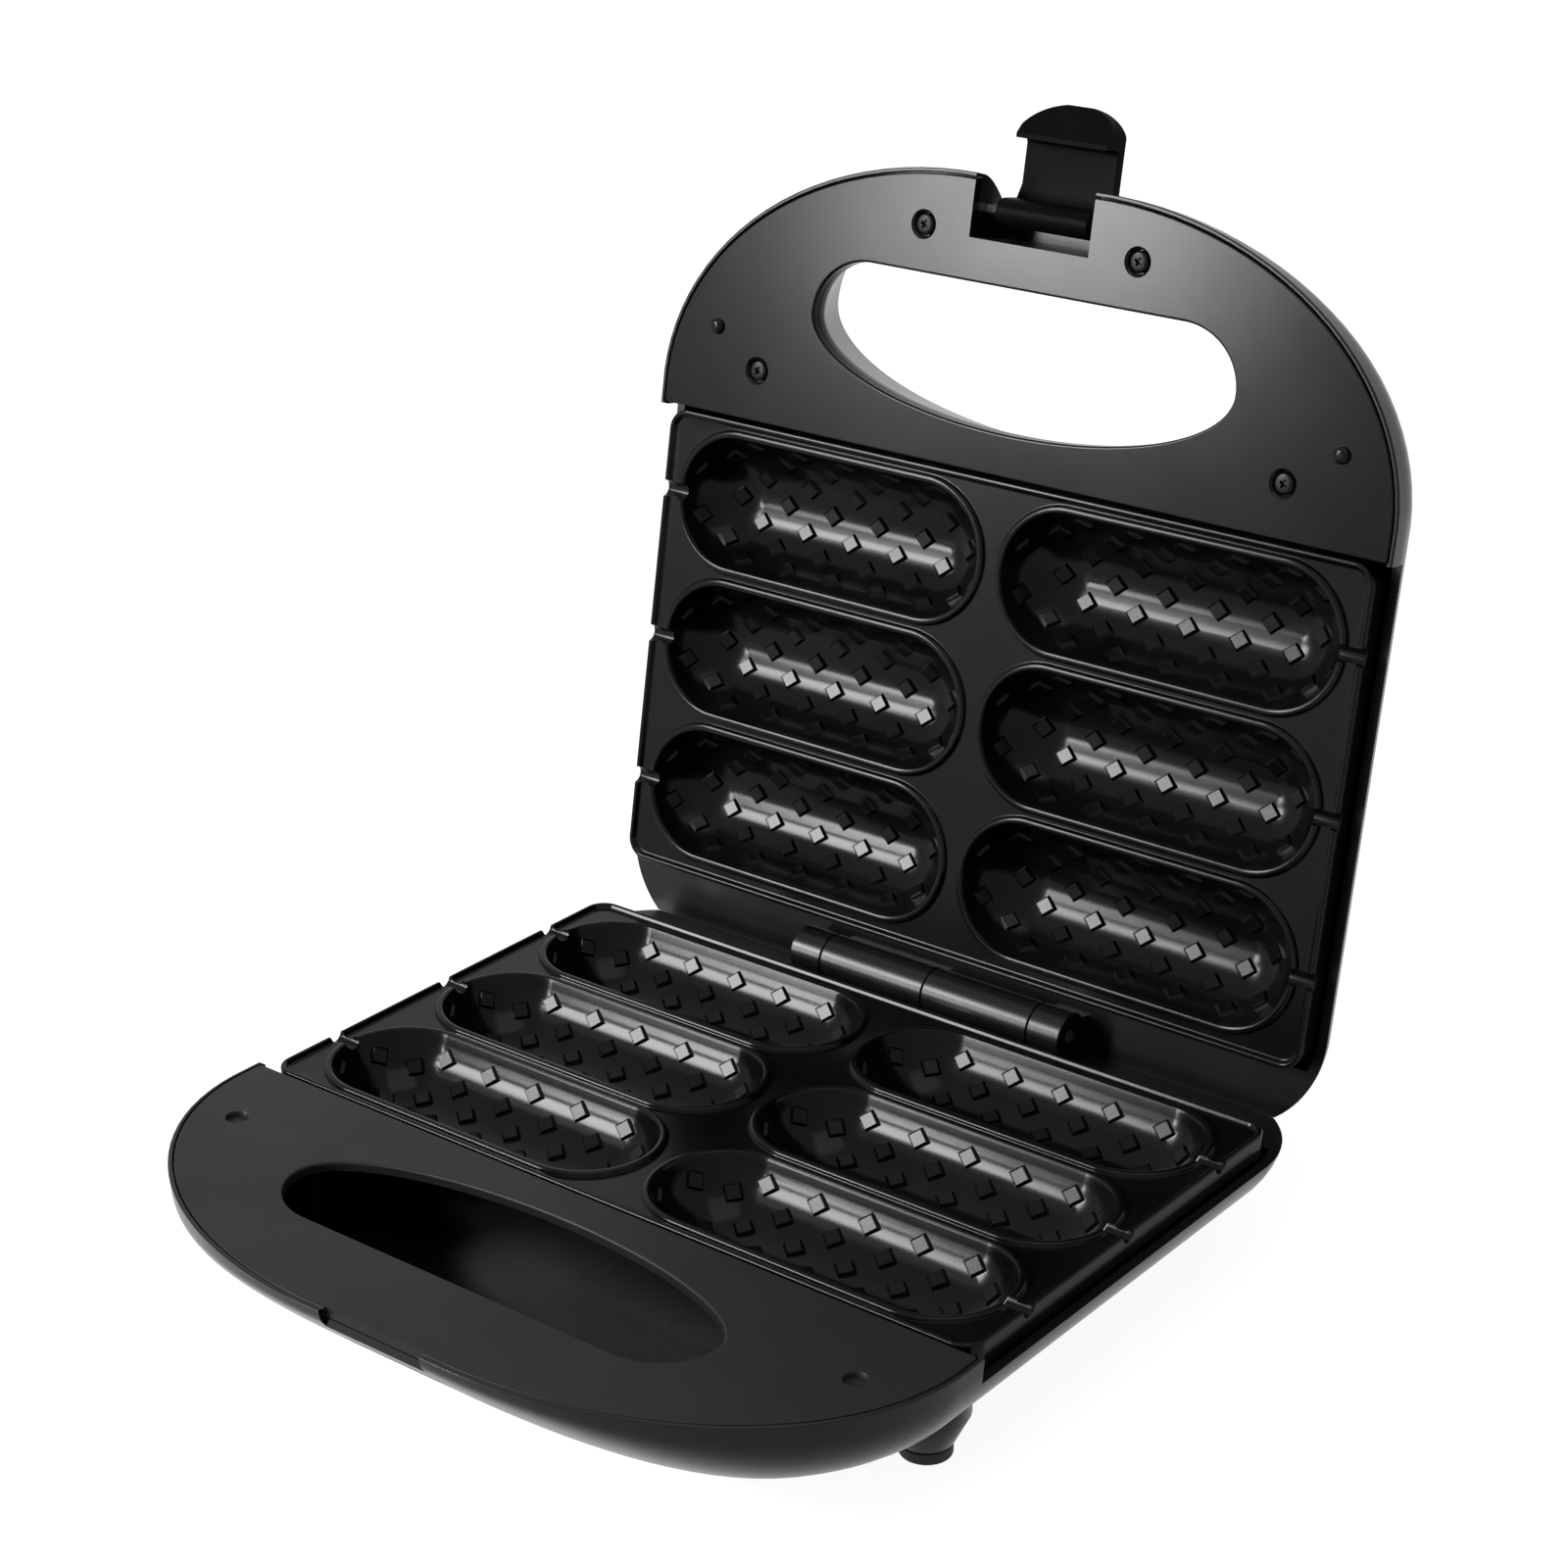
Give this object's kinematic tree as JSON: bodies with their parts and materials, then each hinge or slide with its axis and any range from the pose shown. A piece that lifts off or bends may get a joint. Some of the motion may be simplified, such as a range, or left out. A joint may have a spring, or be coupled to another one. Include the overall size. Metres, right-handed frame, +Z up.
{
  "type": "corn dog maker",
  "caption": "Open countertop corn dog maker: two hinged plastic halves with moulded non-stick plates, handle openings and a swing latch.",
  "frame": {"origin": "on the worktop, under the middle of the open machine's outline", "axes": "+Z up, -Y towards the handles, +X to the right of a person who faces the handles"},
  "size_m": [0.228, 0.275, 0.2662],
  "materials": {
    "shell_plastic": "black moulded plastic with a soft gloss",
    "cover_plastic": "dark grey moulded plastic, fine texture",
    "plate_coating": "cast aluminium under a black non-stick coating",
    "reflector_sheet": "bright rolled sheet",
    "heater_sheath": "dull heat-stained tube",
    "bare_steel": "plain steel",
    "ceramic": "white ceramic",
    "rubber": "black rubber",
    "red_lens": "clear red lens",
    "green_lens": "clear green lens"
  },
  "bodies": {
    "base": {"base_shell": "shell_plastic", "base_handle_cover": "cover_plastic", "base_plate": "plate_coating", "base_reflector": "reflector_sheet", "base_heater": "heater_sheath", "base_heater_clamp": "bare_steel", "base_centre_screw": "bare_steel", "base_cover_screw_1": "bare_steel", "base_cover_screw_2": "bare_steel", "base_cover_screw_3": "bare_steel", "base_cover_screw_4": "bare_steel", "thermostat": "ceramic", "thermal_fuse": "bare_steel", "terminal_block": "ceramic", "cord_gland": "rubber", "foot_front_left": "rubber", "foot_front_right": "rubber", "foot_rear_left": "rubber", "foot_rear_right": "rubber", "hinge_pin": "bare_steel"},
    "lid": {"lid_shell": "shell_plastic", "lid_handle_cover": "cover_plastic", "lid_plate": "plate_coating", "lid_reflector": "reflector_sheet", "lid_heater": "heater_sheath", "lid_heater_clamp": "bare_steel", "lid_centre_screw": "bare_steel", "lid_cover_screw_1": "bare_steel", "lid_cover_screw_2": "bare_steel", "lid_cover_screw_3": "bare_steel", "lid_cover_screw_4": "bare_steel", "lid_screw_cap": "shell_plastic", "power_lamp": "red_lens", "ready_lamp": "green_lens", "latch_pin": "bare_steel"},
    "latch": {"latch": "shell_plastic"}
  },
  "joints": [
    {"name": "lid_hinge", "type": "hinge", "parent": "base", "child": "lid", "pos_m": [0, 0.07869, 0.03738], "axis": [1, 0, 0], "range_deg": [0, 100]},
    {"name": "latch_pivot", "type": "hinge", "parent": "lid", "child": "latch", "pos_m": [0, 0.12258, 0.23963], "axis": [1, 0, 0], "range_deg": [0, 90]}
  ]
}
